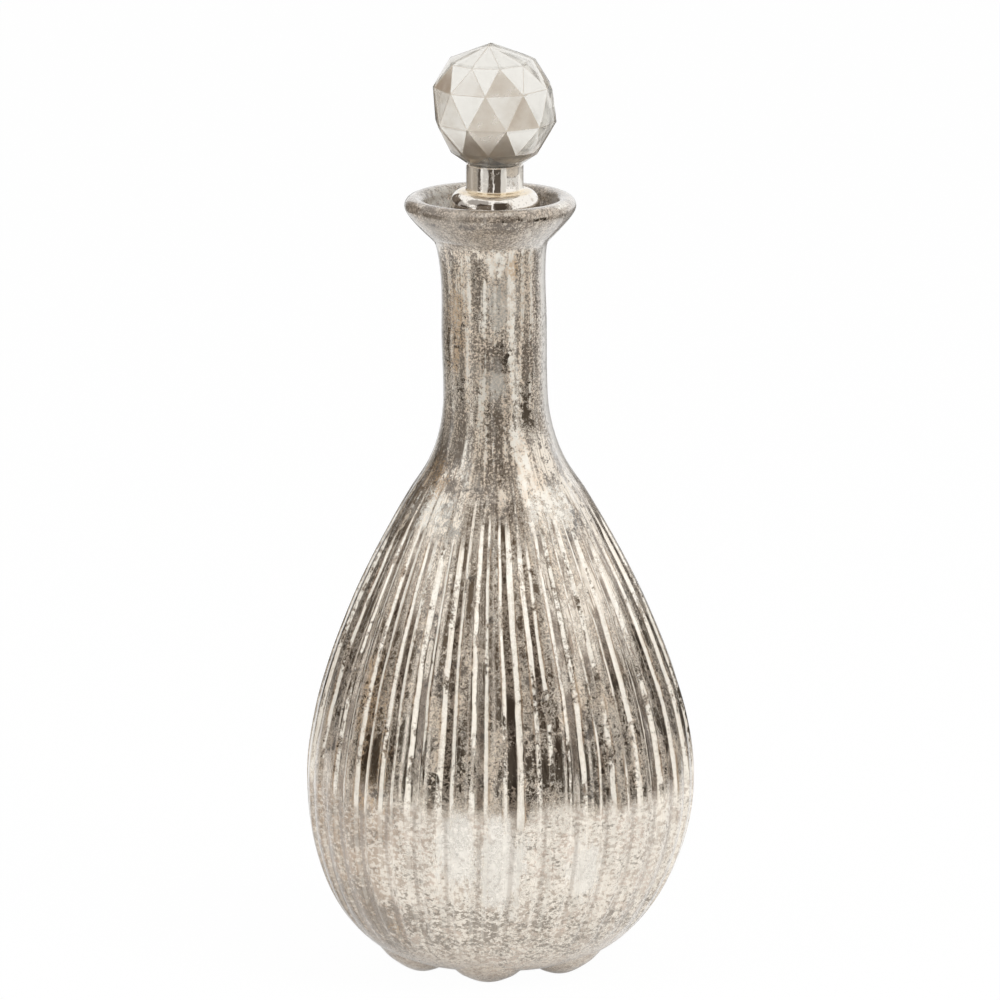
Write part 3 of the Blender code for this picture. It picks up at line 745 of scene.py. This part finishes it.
def silvered_finish(name):
    """Crackled silver behind glass: bright mirror, broken by frosted beige lace and brown tarnish, with
    painted highlights, sheen and shade in its colour.
    """
    material, finish = new_finish(name, {"Coat Weight": 1.0, "Coat Roughness": COAT_ROUGHNESS})
    plain = finish.place()
    grain = silver_grain(finish, plain)
    zone = silver_zones(finish, plain, grain.uneven)
    marks = {name: finish.patches(plain, grain.torn, places) for name, places in MARKS.items()}
    mark = SimpleNamespace(**marks)
    rib = finish.attribute("rib_place")
    ribbed = finish.attribute("rib_strength")
    hollow = (1 - finish.between(rib, *HOLLOW_FALL)) * ribbed
    # The floor of each groove, where painted shade goes low on the belly
    groove = (1 - finish.between(rib + grain.wander * 0.03, *GROOVE_FALL)) * ribbed
    line, highlight_color, fringe = painted_groove_highlights(finish, zone, grain, rib, ribbed)

    cover = grain.grit + grain.clouds * 0.5 + grain.drift * 0.5 + grain.streaks * 0.35 - 0.02
    cover = cover + zone.neck * 0.13 - zone.low * 0.035 - zone.middle * 0.012 - zone.left * 0.02
    frost = finish.between(cover + mark.frosty * 0.07 - hollow * 0.07, 0.0, 0.045)
    vein = abs(finish.noise(plain, VEIN_SIZE, detail=5, roughness=0.75, twist=0.3))
    vein = (1 - finish.between(vein, 0.008, 0.034)) * (0.8 - zone.neck * 0.4)
    frosted = finish.most(frost, vein * finish.between(grain.clouds + grain.drift * 0.5, -0.15, 0.05))
    # Tarnish specks of the silver, with more of them painted under the lip as shade
    spotted = finish.noise(plain, BLOT_SIZE, detail=2) * 1.2 + grain.grit * 1.3 + grain.pepper * 0.5 - 0.08
    spotted = spotted + zone.under_lip * 0.16 + zone.funnel * 0.05 + zone.middle * 0.04 + mark.dark * 0.04
    spots = finish.between(spotted - zone.neck * 0.13 - zone.low * 0.08, 0.12, 0.22)

    combed = finish.between(grain.fine - grain.clouds * 0.3, 0.04, 0.12) * zone.right * (1 - zone.neck)
    # Darker patches of the silver, one of them painted shade under the lip
    darkened = mark.dark * (1 - finish.between(grain.pepper, 0.0, 0.08))
    # Whitish patches of the silver, one of them a painted highlight on the lip
    whitish = mark.pale * finish.between(grain.grit, -0.10, 0.04)
    whitish = whitish * finish.between(grain.streaks + zone.funnel * 0.2, -0.14, -0.02)
    stained = finish.between(grain.clouds * 0.6 + grain.streaks, 0.0, 0.14) * zone.neck
    stained = stained * (1 - zone.funnel * 0.7) * finish.between(grain.pepper, -0.03, 0.05)
    glints = finish.between(grain.streaks + grain.grit * 0.5, 0.075, 0.135) * zone.neck * (1 - zone.funnel)
    # Darker brown down the hollow of each groove above the low belly
    hollow_darkened = hollow * finish.between(grain.uneven + grain.drift, -0.10, 0.12) * (1 - zone.low)
    coppered = mark.copper * finish.between(grain.pepper + grain.streaks * 0.3, -0.04, 0.04)
    # Painted reflection: the neck is painted pale where its surface turns away at grazing angles, more on
    # its lit right side
    grazing = finish.node("LayerWeight", {}, {"Blend": 0.5}, "Facing")
    rim = finish.between(grazing + zone.lit * 0.24 + grain.pepper * 0.6, 0.60, 0.95)
    rim = rim * zone.neck * (1 - zone.funnel * 0.6)
    layers = (
        (finish.between(grain.fine + grain.clouds * 0.3, 0.0, 0.12) * 0.65, STREAK_BROWN),
        (frosted * 0.92, frost_color(finish, zone, grain, mark)),
        (combed * 0.45, STREAK_BROWN),
        (zone.low * 0.92, low_color(finish, plain, zone, mark)),
        (zone.funnel * 0.42, FUNNEL_VEIL),
        (darkened * 0.5, DARK_VEIL),
        (whitish * 0.9, PALE),
        (stained * 0.35, NECK_AMBER),
        (glints * 0.8, PALE),
        (hollow_darkened * 0.75, GROOVE_BROWN),
        (zone.left * (0.30 - zone.low * 0.14), LEFT_VEIL),
        # Painted shade: brown round the base, standing in for the reflection of the shadowed floor and feet
        (zone.base * 0.42, BASE_REFLECTED_SHADE),
        (coppered * 0.65, COPPER),
        (spots * (1 - zone.low * 0.7) * 0.85, TARNISH),
        # Painted shade: a soft grey line down each groove low on the belly
        (groove * zone.low * (0.40 + zone.left * 0.45), GROOVE_SHADE_GREY),
        # Painted shade: an amber band along the crown side of each painted highlight line
        (fringe * 0.75, AMBER_EDGE_SHADE),
        # Painted highlight: the bright line on each groove flank, whiter at its core
        (line * (1 - zone.low * 0.75) * (0.97 - zone.middle * 0.18), highlight_color),
        (rim * 0.9, GRAZING_SHEEN_PALE),
    )
    color = SILVER
    for share, layer in layers:
        color = finish.blend(share, color, layer)
    finish.give("Base Color", color)
    bare = (1 - frosted * 0.6 - spots * 0.2) * (1 - line * 0.9) * (1 - whitish * 0.5)
    finish.give("Metallic", bare * (1 - zone.low * 0.45) * (1 - rim * 0.8))
    finish.give("Roughness", 0.06 + frosted * 0.28 + line * 0.10 + zone.low * 0.10)
    finish.give("Normal", finish.bump(frosted * 0.6 + grain.grit * 0.8, SILVER_RELIEF))
    return material


silvered_glass = silvered_finish("silvered_glass")
bottle = make_bottle()
paint(bottle, silvered_glass)
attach(bottle, "bottle")
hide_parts("bottle")

# Feet
# Gobs of the same glass, laid on under the base while it is hot, so that each one flows into the underside.
FOOT_COUNT = 6
FOOT_TURN = math.radians(-4.0)
FOOT_WIDTH = 0.0240
FOOT_SPACE = 0.0045
FOOT_RISE = 0.0107
FOOT_ROUND = 1.45
FOOT_TIP = 0.16

# How far from its middle a gob rises by FOOT_RISE, and how far its disc goes
FOOT_ASIDE = (0.0200, 0.0142)
FOOT_OUT = (0.0163, 0.0178)
FOOT_IN = (0.0154, 0.0106)

FOOT_BLEND = 0.0032
FOOT_TUCK = 0.0016
FOOT_TUCK_SHARE = 0.40
FOOT_AROUND = 48
FOOT_RINGS = 14
FOOT_CIRCLE = (FOOT_WIDTH + FOOT_SPACE) / (2 * math.sin(math.pi / FOOT_COUNT))

underside = body_outline(OUTER_STEPS)[:OUTER_STEPS[0]]


def underside_level(radius):
    """The height of the bottle's underside at a distance from the axis."""
    if radius <= underside[0].x:
        return underside[0].y + KICK * (1 - smooth_step(radius / BASE_RADIUS))
    for near, far in zip(underside, underside[1:]):
        if radius <= far.x:
            return near.y + (far.y - near.y) * (radius - near.x) / (far.x - near.x)
    return underside[-1].y


def soft_lower(first, second, width):
    """The lower of two heights, rounded where they cross."""
    near = max(width - abs(first - second), 0) / width
    return min(first, second) - near * near * width / 4


def make_foot(number):
    """A round disc of rings, drawn down into a gob that runs on from the bottle's side."""
    start_from_nothing()
    bpy.ops.mesh.primitive_circle_add(vertices=FOOT_AROUND, radius=1, fill_type="NGON")
    piece = bpy.context.object
    piece.name = f"glass_foot_{number}"
    bpy.ops.object.mode_set(mode="EDIT")
    for ring in range(FOOT_RINGS - 1):
        bpy.ops.mesh.inset(thickness=1 / FOOT_RINGS)
    bpy.ops.mesh.poke()
    bpy.ops.object.mode_set(mode="OBJECT")
    chance = random.Random(number)
    size = chance.uniform(0.97, 1.04)
    turn = Matrix.Rotation(FOOT_TURN + 2 * math.pi * (number - 1) / FOOT_COUNT, 4, "Z")
    for vertex in piece.data.vertices:
        out = min(math.hypot(vertex.co.x, vertex.co.y), 1)
        half_depth, reach = FOOT_OUT if vertex.co.y < 0 else FOOT_IN
        across = vertex.co.x * FOOT_ASIDE[1]
        along = vertex.co.y * reach
        away = math.hypot(across / FOOT_ASIDE[0] / size, along / half_depth)
        away = (math.hypot(away, FOOT_TIP) - FOOT_TIP) / (math.hypot(1, FOOT_TIP) - FOOT_TIP)
        gob = FOOT_RISE * away ** FOOT_ROUND
        place = turn @ Vector((across, along - FOOT_CIRCLE, 0))
        under = underside_level(math.hypot(place.x, place.y))
        tucked = smooth_step((out - 1 + FOOT_TUCK_SHARE) / FOOT_TUCK_SHARE)
        level = soft_lower(under, gob, FOOT_BLEND) + FOOT_TUCK * tucked
        vertex.co = (place.x + lean_at(BASE_LEVEL), place.y, max(level, 0))
    edit(piece)
    bpy.ops.mesh.extrude_region_move(TRANSFORM_OT_translate={"value": (0, 0, FOOT_TUCK)})
    settle(piece)
    return piece


for number in range(1, FOOT_COUNT + 1):
    foot = make_foot(number)
    paint(foot, silvered_glass)
    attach(foot, "bottle")
    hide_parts(f"foot_{number}")

# Silver lining
# The coat itself, laid on the inside of the glass by chemistry: seen down the neck once the stopper is out.
LINING_BRIGHT = (0.82, 0.77, 0.70)
LINING_DULL = (0.48, 0.42, 0.36)

lining_coat, finish = new_finish("lining_coat", {"Metallic": 1.0})
place = finish.place()
dull = finish.between(finish.noise(place, 0.006) + finish.noise(place, 0.0012), -0.10, 0.25)
finish.give("Base Color", finish.blend(dull, LINING_BRIGHT, LINING_DULL))
finish.give("Roughness", 0.14 + dull * 0.35)
paint(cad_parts["silver_lining"], lining_coat)

# Stopper seal
# A soft clear sleeve pushed on to the peg, with fins that grip the bore and a collar that sits in
# the funnel.
SEAL_CLEAR = (0.80, 0.81, 0.80)
SEAL_HAZE = (0.88, 0.87, 0.83)

seal_plastic, finish = new_finish("seal_plastic", {"IOR": 1.46})
haze = finish.between(finish.noise(finish.place(), 0.003), -0.1, 0.2)
finish.give("Base Color", finish.blend(haze, SEAL_CLEAR, SEAL_HAZE))
finish.give("Roughness", 0.30 + haze * 0.20)
paint(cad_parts["stopper_seal"], seal_plastic)

# Shank
# The stopper's hollow stem, its domed flange and the peg below, blown in one and silvered inside.
# Its colour carries painted highlights down the stem and painted dark reflections on the flange.
SHANK_LOW, SHANK_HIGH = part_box("shank")
FLANGE_RADIUS = SHANK_HIGH.x
PEG_END = SHANK_LOW.z
STEM_TOP = SHANK_HIGH.z
SEAT_LEVEL = PEG_END + 0.0300
FLANGE_LEVEL = SEAT_LEVEL + 0.0097
STEM_FOOT = FLANGE_LEVEL + 0.0061
FLANGE_EDGE = 0.0008
STEM_RADIUS = 0.0100
STEM_FILLET = 0.0009
PEG_RADIUS = 0.0128
PEG_END_RADIUS = 0.0114
PEG_ROUND = 0.0015
SHANK_BORE = 0.0072
DOME_PULL_SHARE = 0.60
DOME_STEPS = 12
EDGE_STEPS = 4
TURNED_AROUND = 120

stem_foot = Vector((STEM_RADIUS, STEM_FOOT + STEM_FILLET))
dome_top = Vector((STEM_RADIUS + STEM_FILLET, STEM_FOOT))
flange = Vector((FLANGE_RADIUS, FLANGE_LEVEL))
outward = Vector((DOME_PULL_SHARE * (FLANGE_RADIUS - dome_top.x), 0))
downward = Vector((0, -DOME_PULL_SHARE * (STEM_FOOT - FLANGE_LEVEL)))
fillet = Vector((0, -STEM_FILLET / 2))
fillet_out = Vector((STEM_FILLET / 2, 0))
edge_centre = Vector((FLANGE_RADIUS - FLANGE_EDGE, SEAT_LEVEL + FLANGE_EDGE))
peg_centre = Vector((PEG_END_RADIUS - PEG_ROUND, PEG_END + PEG_ROUND))
shank_outline = (
    [Vector((SHANK_BORE, STEM_TOP)), Vector((STEM_RADIUS - FLANGE_EDGE / 2, STEM_TOP))]
    + [Vector((STEM_RADIUS, STEM_TOP - FLANGE_EDGE / 2)), stem_foot]
    + run(stem_foot, fillet, dome_top, fillet_out, EDGE_STEPS)
    + run(dome_top, outward, flange, downward, DOME_STEPS)
    + arc(edge_centre, FLANGE_EDGE, 0, -math.pi / 2, EDGE_STEPS)
    + [Vector((PEG_RADIUS, SEAT_LEVEL))]
    + arc(peg_centre, PEG_ROUND, 0, -math.pi / 2, EDGE_STEPS)
    + [Vector((SHANK_BORE, PEG_END))]
)
shank = spin_outline("shank_glass", shank_outline, TURNED_AROUND, closed=True)
settle(shank)

BRIGHT = (0.92, 0.87, 0.80)
BRIGHT_DULL = (0.62, 0.55, 0.47)
STEM_HIGHLIGHT_WHITE = (0.97, 0.93, 0.86)
STEM_BEIGE = (0.64, 0.56, 0.46)
GOLDEN = (0.78, 0.60, 0.34)
GOLDEN_BAND = 0.0010
# Painted highlights: white bands down the stem
STEM_HIGHLIGHT_PATCHES = (
    ((-3.6, -9.5, 282.5), (1.5, 3.0, 8.0)),
    ((3.0, -9.6, 283.0), (1.2, 3.0, 8.0)),
    ((9.4, -3.5, 282.5), (1.6, 4.5, 8.0)),
)
STEM_BEIGE_PATCHES = (
    ((-8.0, -6.0, 282.2), (3.6, 5.5, 9.0)),
    ((6.0, -8.0, 285.5), (3.0, 4.0, 2.5)),
    ((7.0, 7.5, 282.2), (4.0, 5.0, 9.0)),
)
# Painted reflection: dark spots on the flange's dome
FLANGE_REFLECTED_DARK = (0.20, 0.165, 0.135)
FLANGE_REFLECTED_DARK_PATCHES = (
    ((-12.0, -10.5, 273.5), (3.4, 6.0, 2.6)),
    ((1.5, -15.0, 274.5), (2.8, 6.0, 1.6)),
    ((-6.0, -14.0, 275.5), (5.0, 6.0, 1.0)),
)

bright_glass, finish = new_finish("bright_glass", {"Coat Weight": 1.0})
plain = finish.place()
height = finish.along(plain, "Z")
torn = finish.noise(finish.place(stretch=(1, 1, 0.3)), 0.0025) * 1.2
white = finish.patches(plain, torn, STEM_HIGHLIGHT_PATCHES)
beige = finish.patches(plain, torn, STEM_BEIGE_PATCHES)
brown = finish.patches(plain, torn, FLANGE_REFLECTED_DARK_PATCHES)
dull = finish.between(finish.noise(plain, 0.004) + finish.noise(plain, 0.0008), 0.06, 0.28)
golden = 1 - finish.between(abs(height - STEM_FOOT), 0.0, GOLDEN_BAND)
color = finish.blend(dull, BRIGHT, BRIGHT_DULL)
color = finish.blend(beige * 0.9, color, STEM_BEIGE)
color = finish.blend(brown * 0.8, color, FLANGE_REFLECTED_DARK)
color = finish.blend(white * 0.9, color, STEM_HIGHLIGHT_WHITE)
finish.give("Base Color", finish.blend(golden * 0.8, color, GOLDEN))
finish.give("Metallic", (1 - white * 0.75) * (1 - beige * 0.7) * (1 - dull * 0.4))
finish.give("Roughness", 0.07 + dull * 0.3 + beige * 0.15)
finish.give("Normal", finish.bump(finish.noise(plain, 0.005, detail=2), 0.00015))
paint(shank, bright_glass)
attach(shank, "stopper")
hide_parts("shank")

# Peg plug
# A short piece of pressed cork that closes the peg's open end.
CORK_LIGHT = (0.66, 0.49, 0.31)
CORK_DARK = (0.40, 0.26, 0.15)

cork, finish = new_finish("cork", {})
crumbs = finish.noise(finish.place(), 0.0012)
dark_crumbs = finish.between(crumbs, -0.1, 0.2)
finish.give("Base Color", finish.blend(dark_crumbs, CORK_LIGHT, CORK_DARK))
finish.give("Roughness", 0.8 + crumbs * 0.3)
finish.give("Normal", finish.bump(crumbs, 0.0002))
paint(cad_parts["peg_plug"], cork)

# Knob
# A pressed ball of clear glass with triangular facets, hollow, and coated inside with a pearly champagne
# silver whose own facets are a little softer. The clear wall shows as a pale rim round the coat.
# The coat's facets are painted lighter or darker by row, by spot and towards the upper right, as painted
# light and shade.
KNOB_LOW, KNOB_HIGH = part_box("knob")
KNOB_RADIUS = 0.0224
KNOB_CENTRE = KNOB_HIGH.z - KNOB_RADIUS
KNOB_SIDES = 9
KNOB_TURN = math.radians(-6.0)
KNOB_ROW_ANGLES = (42.5, 71.5, 105.5, 137.0)
KNOB_HALF_STEPS = (1, 0, 1, 0)
KNOB_EDGE = 0.00014
KNOB_LEAN = 0.0013
COAT_DEPTH = 0.0020
COAT_EDGE = 0.00012
COAT_ASIDE = -0.0008
FACET_LEAST_AREA = 0.000012
SEAM_TONE = 0.50
TONE_SPREAD = 0.08

# How dark the coat is painted in each row as light and shade, top row first: on the facets at the turn, and
# on those between them
ROW_SHADES = ((0.08, 0.08), (0.04, 0.50), (0.50, 0.04), (0.22, 0.54), (0.20, 0.20))

# Where the coat is painted darker or lighter than that as light and shade: a place from the centre, its
# reach, and the change
LIGHT_AND_SHADE_SPOTS = (
    ((-0.0180, -0.0060, 0.0070), 0.0090, 0.45),
    ((0.0120, -0.0080, 0.0140), 0.0110, -0.80),
    ((0.0165, -0.0090, 0.0080), 0.0070, -0.60),
    ((-0.0081, -0.0155, 0.0106), 0.0060, -0.35),
    ((-0.0137, -0.0151, -0.0006), 0.0060, -0.40),
    ((0.0040, -0.0198, 0.0032), 0.0060, 0.25),
    ((0.0107, -0.0173, -0.0011), 0.0060, 0.20),
    ((-0.0019, -0.0184, -0.0086), 0.0060, 0.28),
    ((0.0185, -0.0060, 0.0000), 0.0090, -0.50),
    ((0.0120, -0.0100, -0.0110), 0.0080, -0.40),
)


def make_facets(name, radius, seat_radius, edge):
    """A cap of triangles, carried down row by row; each row is turned half a facet before it is joined."""
    start_from_nothing()
    half = math.pi / KNOB_SIDES
    rows = []
    for degrees, steps in zip(KNOB_ROW_ANGLES, KNOB_HALF_STEPS):
        polar = math.radians(degrees)
        rows.append((radius * math.sin(polar), KNOB_CENTRE + radius * math.cos(polar), steps))
    rows.append((seat_radius, KNOB_LOW.z + KNOB_RADIUS - radius, KNOB_HALF_STEPS[-1]))
    first_radius, first_level, first_steps = rows[0]
    bpy.ops.mesh.primitive_circle_add(
        vertices=KNOB_SIDES,
        radius=first_radius,
        fill_type="TRIFAN",
        location=(0, 0, first_level),
        rotation=(0, 0, KNOB_TURN + first_steps * half + math.pi),
    )
    piece = bpy.context.object
    piece.name = name
    bpy.ops.object.transform_apply(location=True, rotation=True)
    apex = min(piece.data.vertices, key=lambda vertex: math.hypot(vertex.co.x, vertex.co.y))
    apex.co.z = KNOB_CENTRE + radius
    bpy.ops.object.mode_set(mode="EDIT")
    select_rim()
    for (near_radius, near_level, near_steps), (far_radius, far_level, far_steps) in zip(rows, rows[1:]):
        drop = (0, 0, far_level - near_level)
        bpy.ops.mesh.extrude_edges_move(TRANSFORM_OT_translate={"value": drop})
        share = far_radius / near_radius
        bpy.ops.transform.resize(value=(share, share, 1), center_override=(0, 0, far_level))
        turn = (near_steps - far_steps) * half
        bpy.ops.transform.rotate(value=turn, orient_axis="Z", center_override=(0, 0, far_level))
    bpy.ops.mesh.edge_face_add()
    bpy.ops.mesh.select_all(action="SELECT")
    bpy.ops.mesh.quads_convert_to_tris(quad_method="SHORTEST_DIAGONAL")
    bpy.ops.mesh.normals_make_consistent(inside=False)
    bpy.ops.object.mode_set(mode="OBJECT")
    for vertex in piece.data.vertices:
        vertex.co.x -= KNOB_LEAN * max((vertex.co.z - KNOB_CENTRE) / KNOB_RADIUS, 0)
    edit(piece)
    bpy.ops.mesh.bevel(offset=edge, segments=2, profile=0.5)
    bpy.ops.object.mode_set(mode="OBJECT")
    return piece


def shade_facets(piece):
    """Notes the painted light and shade on each facet: facets that point up are painted darker than those
    between them.
    """
    chance = random.Random(9)
    tones = piece.data.attributes.new("facet_shade", "FLOAT", "FACE")
    levels = [KNOB_CENTRE + KNOB_RADIUS * math.cos(math.radians(degrees)) for degrees in KNOB_ROW_ANGLES]
    for face in piece.data.polygons:
        if face.area < FACET_LEAST_AREA:
            tones.data[face.index].value = SEAM_TONE
            continue
        x, y, level = face.center
        turned = (math.atan2(x, -y) - KNOB_TURN) / (2 * math.pi / KNOB_SIDES)
        on_turn = abs(turned - round(turned)) < 0.25
        row = sum(level <= edge for edge in levels)
        tone = ROW_SHADES[row][0 if on_turn else 1]
        for place, reach, change in LIGHT_AND_SHADE_SPOTS:
            away = (face.center - Vector((0, 0, KNOB_CENTRE)) - Vector(place)).length
            tone += change * (1 - smooth_step(away / reach))
        tones.data[face.index].value = tone + chance.uniform(-1, 1) * TONE_SPREAD


knob = make_facets("knob_glass", KNOB_RADIUS, STEM_RADIUS, KNOB_EDGE)
coat = make_facets("knob_coat", KNOB_RADIUS - COAT_DEPTH, STEM_RADIUS - COAT_DEPTH, COAT_EDGE)
settle(knob, math.radians(12))
settle(coat, math.radians(12))
shade_facets(coat)
for vertex in coat.data.vertices:
    vertex.co.x += COAT_ASIDE

GLASS_TINT = (1.0, 0.995, 0.985)
PEARL_LIGHT = (1.0, 0.98, 0.93)
PEARL_TAUPE = (0.72, 0.65, 0.56)
PEARL_BROWN = (0.46, 0.36, 0.27)
LIT_SIDE_TONE = 2.0
LIT_TOP_TONE = 3.0

clear_values = {"Roughness": 0.02, "IOR": 1.35, "Transmission Weight": 1.0, "Base Color": (*GLASS_TINT, 1)}
pearl_glass, finish = new_finish("pearl_glass", clear_values)
paint(knob, pearl_glass)
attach(knob, "stopper")
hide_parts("knob")

pearl_coat, finish = new_finish("pearl_coat", {"Metallic": 0.65})
plain = finish.place()
# Painted light: lighter towards the right and the top, where the lamp falls
lit = finish.along(plain, "X") * LIT_SIDE_TONE + (finish.along(plain, "Z") - KNOB_CENTRE) * LIT_TOP_TONE
tone = finish.attribute("facet_shade") + finish.noise(plain, 0.007) * 0.75 - lit
color = finish.blend(finish.between(tone, 0.0, 0.6), PEARL_LIGHT, PEARL_TAUPE)
finish.give("Base Color", finish.blend(finish.between(tone, 0.5, 1.0), color, PEARL_BROWN))
finish.give("Roughness", 0.24 + tone * 0.08)
paint(coat, pearl_coat)
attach(coat, "stopper")

# Studio
# A white table under a white sky, two soft lamps, and dark cards that only reflections see. The gaps
# between the cards reflect as bright strips on the ribs, beside the highlight lines painted on the groove
# flanks.
FLOOR_SIZE = 12.0
FLOOR_WHITE = (0.90, 0.90, 0.89)
FLOOR_CAMERA_SHARE = 0.98
FLOOR_GLOSS_SHARE = 0.30
SKY_WHITE = (1.0, 1.0, 1.0)
SKY_SOFT = (0.62, 0.62, 0.62)
CARD_DARK = (0.070, 0.061, 0.053)
CARD_BROWN = (0.17, 0.14, 0.115)
CARD_FADE = (0.05, 0.60)
CARD_STEP = math.radians(4)

start_from_nothing()
bpy.ops.mesh.primitive_plane_add(size=FLOOR_SIZE)
floor = bpy.context.object
floor.name = "white_table"
dull_values = {"Roughness": 0.9, "Base Color": (*FLOOR_WHITE, 1), "Specular IOR Level": 0.0}
floor_white, finish = new_finish("floor_white", dull_values)
glow = finish.node("Emission", {}, {"Color": (*SKY_WHITE, 1)})
share = (finish.ray("Glossy") + finish.ray("Transmission")) * FLOOR_GLOSS_SHARE
share = finish.ray("Camera") * FLOOR_CAMERA_SHARE + share
dull = Wire(finish, finish.shader.outputs[0])
finish.end_with(finish.node("MixShader", {}, {0: share, 1: dull, 2: glow}))
paint(floor, floor_white)

world = bpy.data.worlds.new("studio_sky")
bpy.context.scene.world = world
world.use_nodes = True
sky = Finish(world.node_tree)
seen = sky.ray("Camera") + sky.ray("Glossy") + sky.ray("Transmission")
sky_color = sky.blend(sky.between(seen, 0.0, 1.0), SKY_SOFT, SKY_WHITE)
sky.feed(world.node_tree.nodes["Background"].inputs["Color"], sky_color)

# Soft square lamps that look at the decanter and don't show in reflections
LAMPS = (
    ("key_lamp", (1.1, -0.9, 1.6), 0.9, 22.0),
    ("fill_lamp", (-1.4, -0.8, 1.0), 1.0, 9.0),
)
for name, place, size, power in LAMPS:
    bpy.ops.object.light_add(type="AREA", location=place)
    lamp = bpy.context.object
    lamp.name = name
    lamp.data.size = size
    lamp.data.energy = power
    aim = Vector((0, 0, CAMERA_AIM_HEIGHT)) - Vector(place)
    lamp.rotation_euler = aim.to_track_quat("-Z", "Y").to_euler()
    lamp.visible_glossy = False
    lamp.visible_transmission = False

card_finish, finish = new_finish("dark_card", {})
finish.tree.nodes.remove(finish.shader)
card_height = finish.along(finish.place(), "Z")
card_color = finish.blend(finish.between(card_height, *CARD_FADE), CARD_DARK, CARD_BROWN)
finish.end_with(finish.node("Emission", {}, {"Color": card_color}))


def add_card(name, first, last, distance, height):
    """A tall dark card, curved round the decanter between two angles, counted from -Y towards +X."""
    start_from_nothing()
    steps = max(round(math.radians(last - first) / CARD_STEP), 1)
    angles = [math.radians(first + (last - first) * step / steps) for step in range(steps + 1)]
    foot = [Vector((distance * math.sin(angle), -distance * math.cos(angle), 0)) for angle in angles]
    bpy.ops.mesh.primitive_grid_add(x_subdivisions=steps, y_subdivisions=1, size=1)
    card = bpy.context.object
    card.name = name
    ordered = sorted(card.data.vertices, key=lambda vertex: (vertex.co.y, vertex.co.x))
    for index, vertex in enumerate(ordered):
        vertex.co = foot[index % (steps + 1)] + Vector((0, 0, height * (index // (steps + 1))))
    paint(card, card_finish)
    for ray in ("camera", "diffuse", "shadow", "transmission"):
        setattr(card, f"visible_{ray}", False)


CARDS = (
    ("front_card", -4, 44, 0.46, 0.80),
    ("front_left_card", -48, -9, 0.46, 0.66),
    ("left_card", -100, -59, 0.62, 0.42),
    ("back_left_card", -158, -110, 0.80, 0.70),
    ("right_front_card", 50, 92, 0.37, 0.24),
    ("right_card", 99, 166, 0.45, 0.22),
    ("back_card", 176, 194, 0.60, 0.26),
)
for name, first, last, distance, height in CARDS:
    add_card(name, first, last, distance, height)

bpy.context.scene.view_settings.view_transform = "Standard"

bpy.context.view_layer.update()
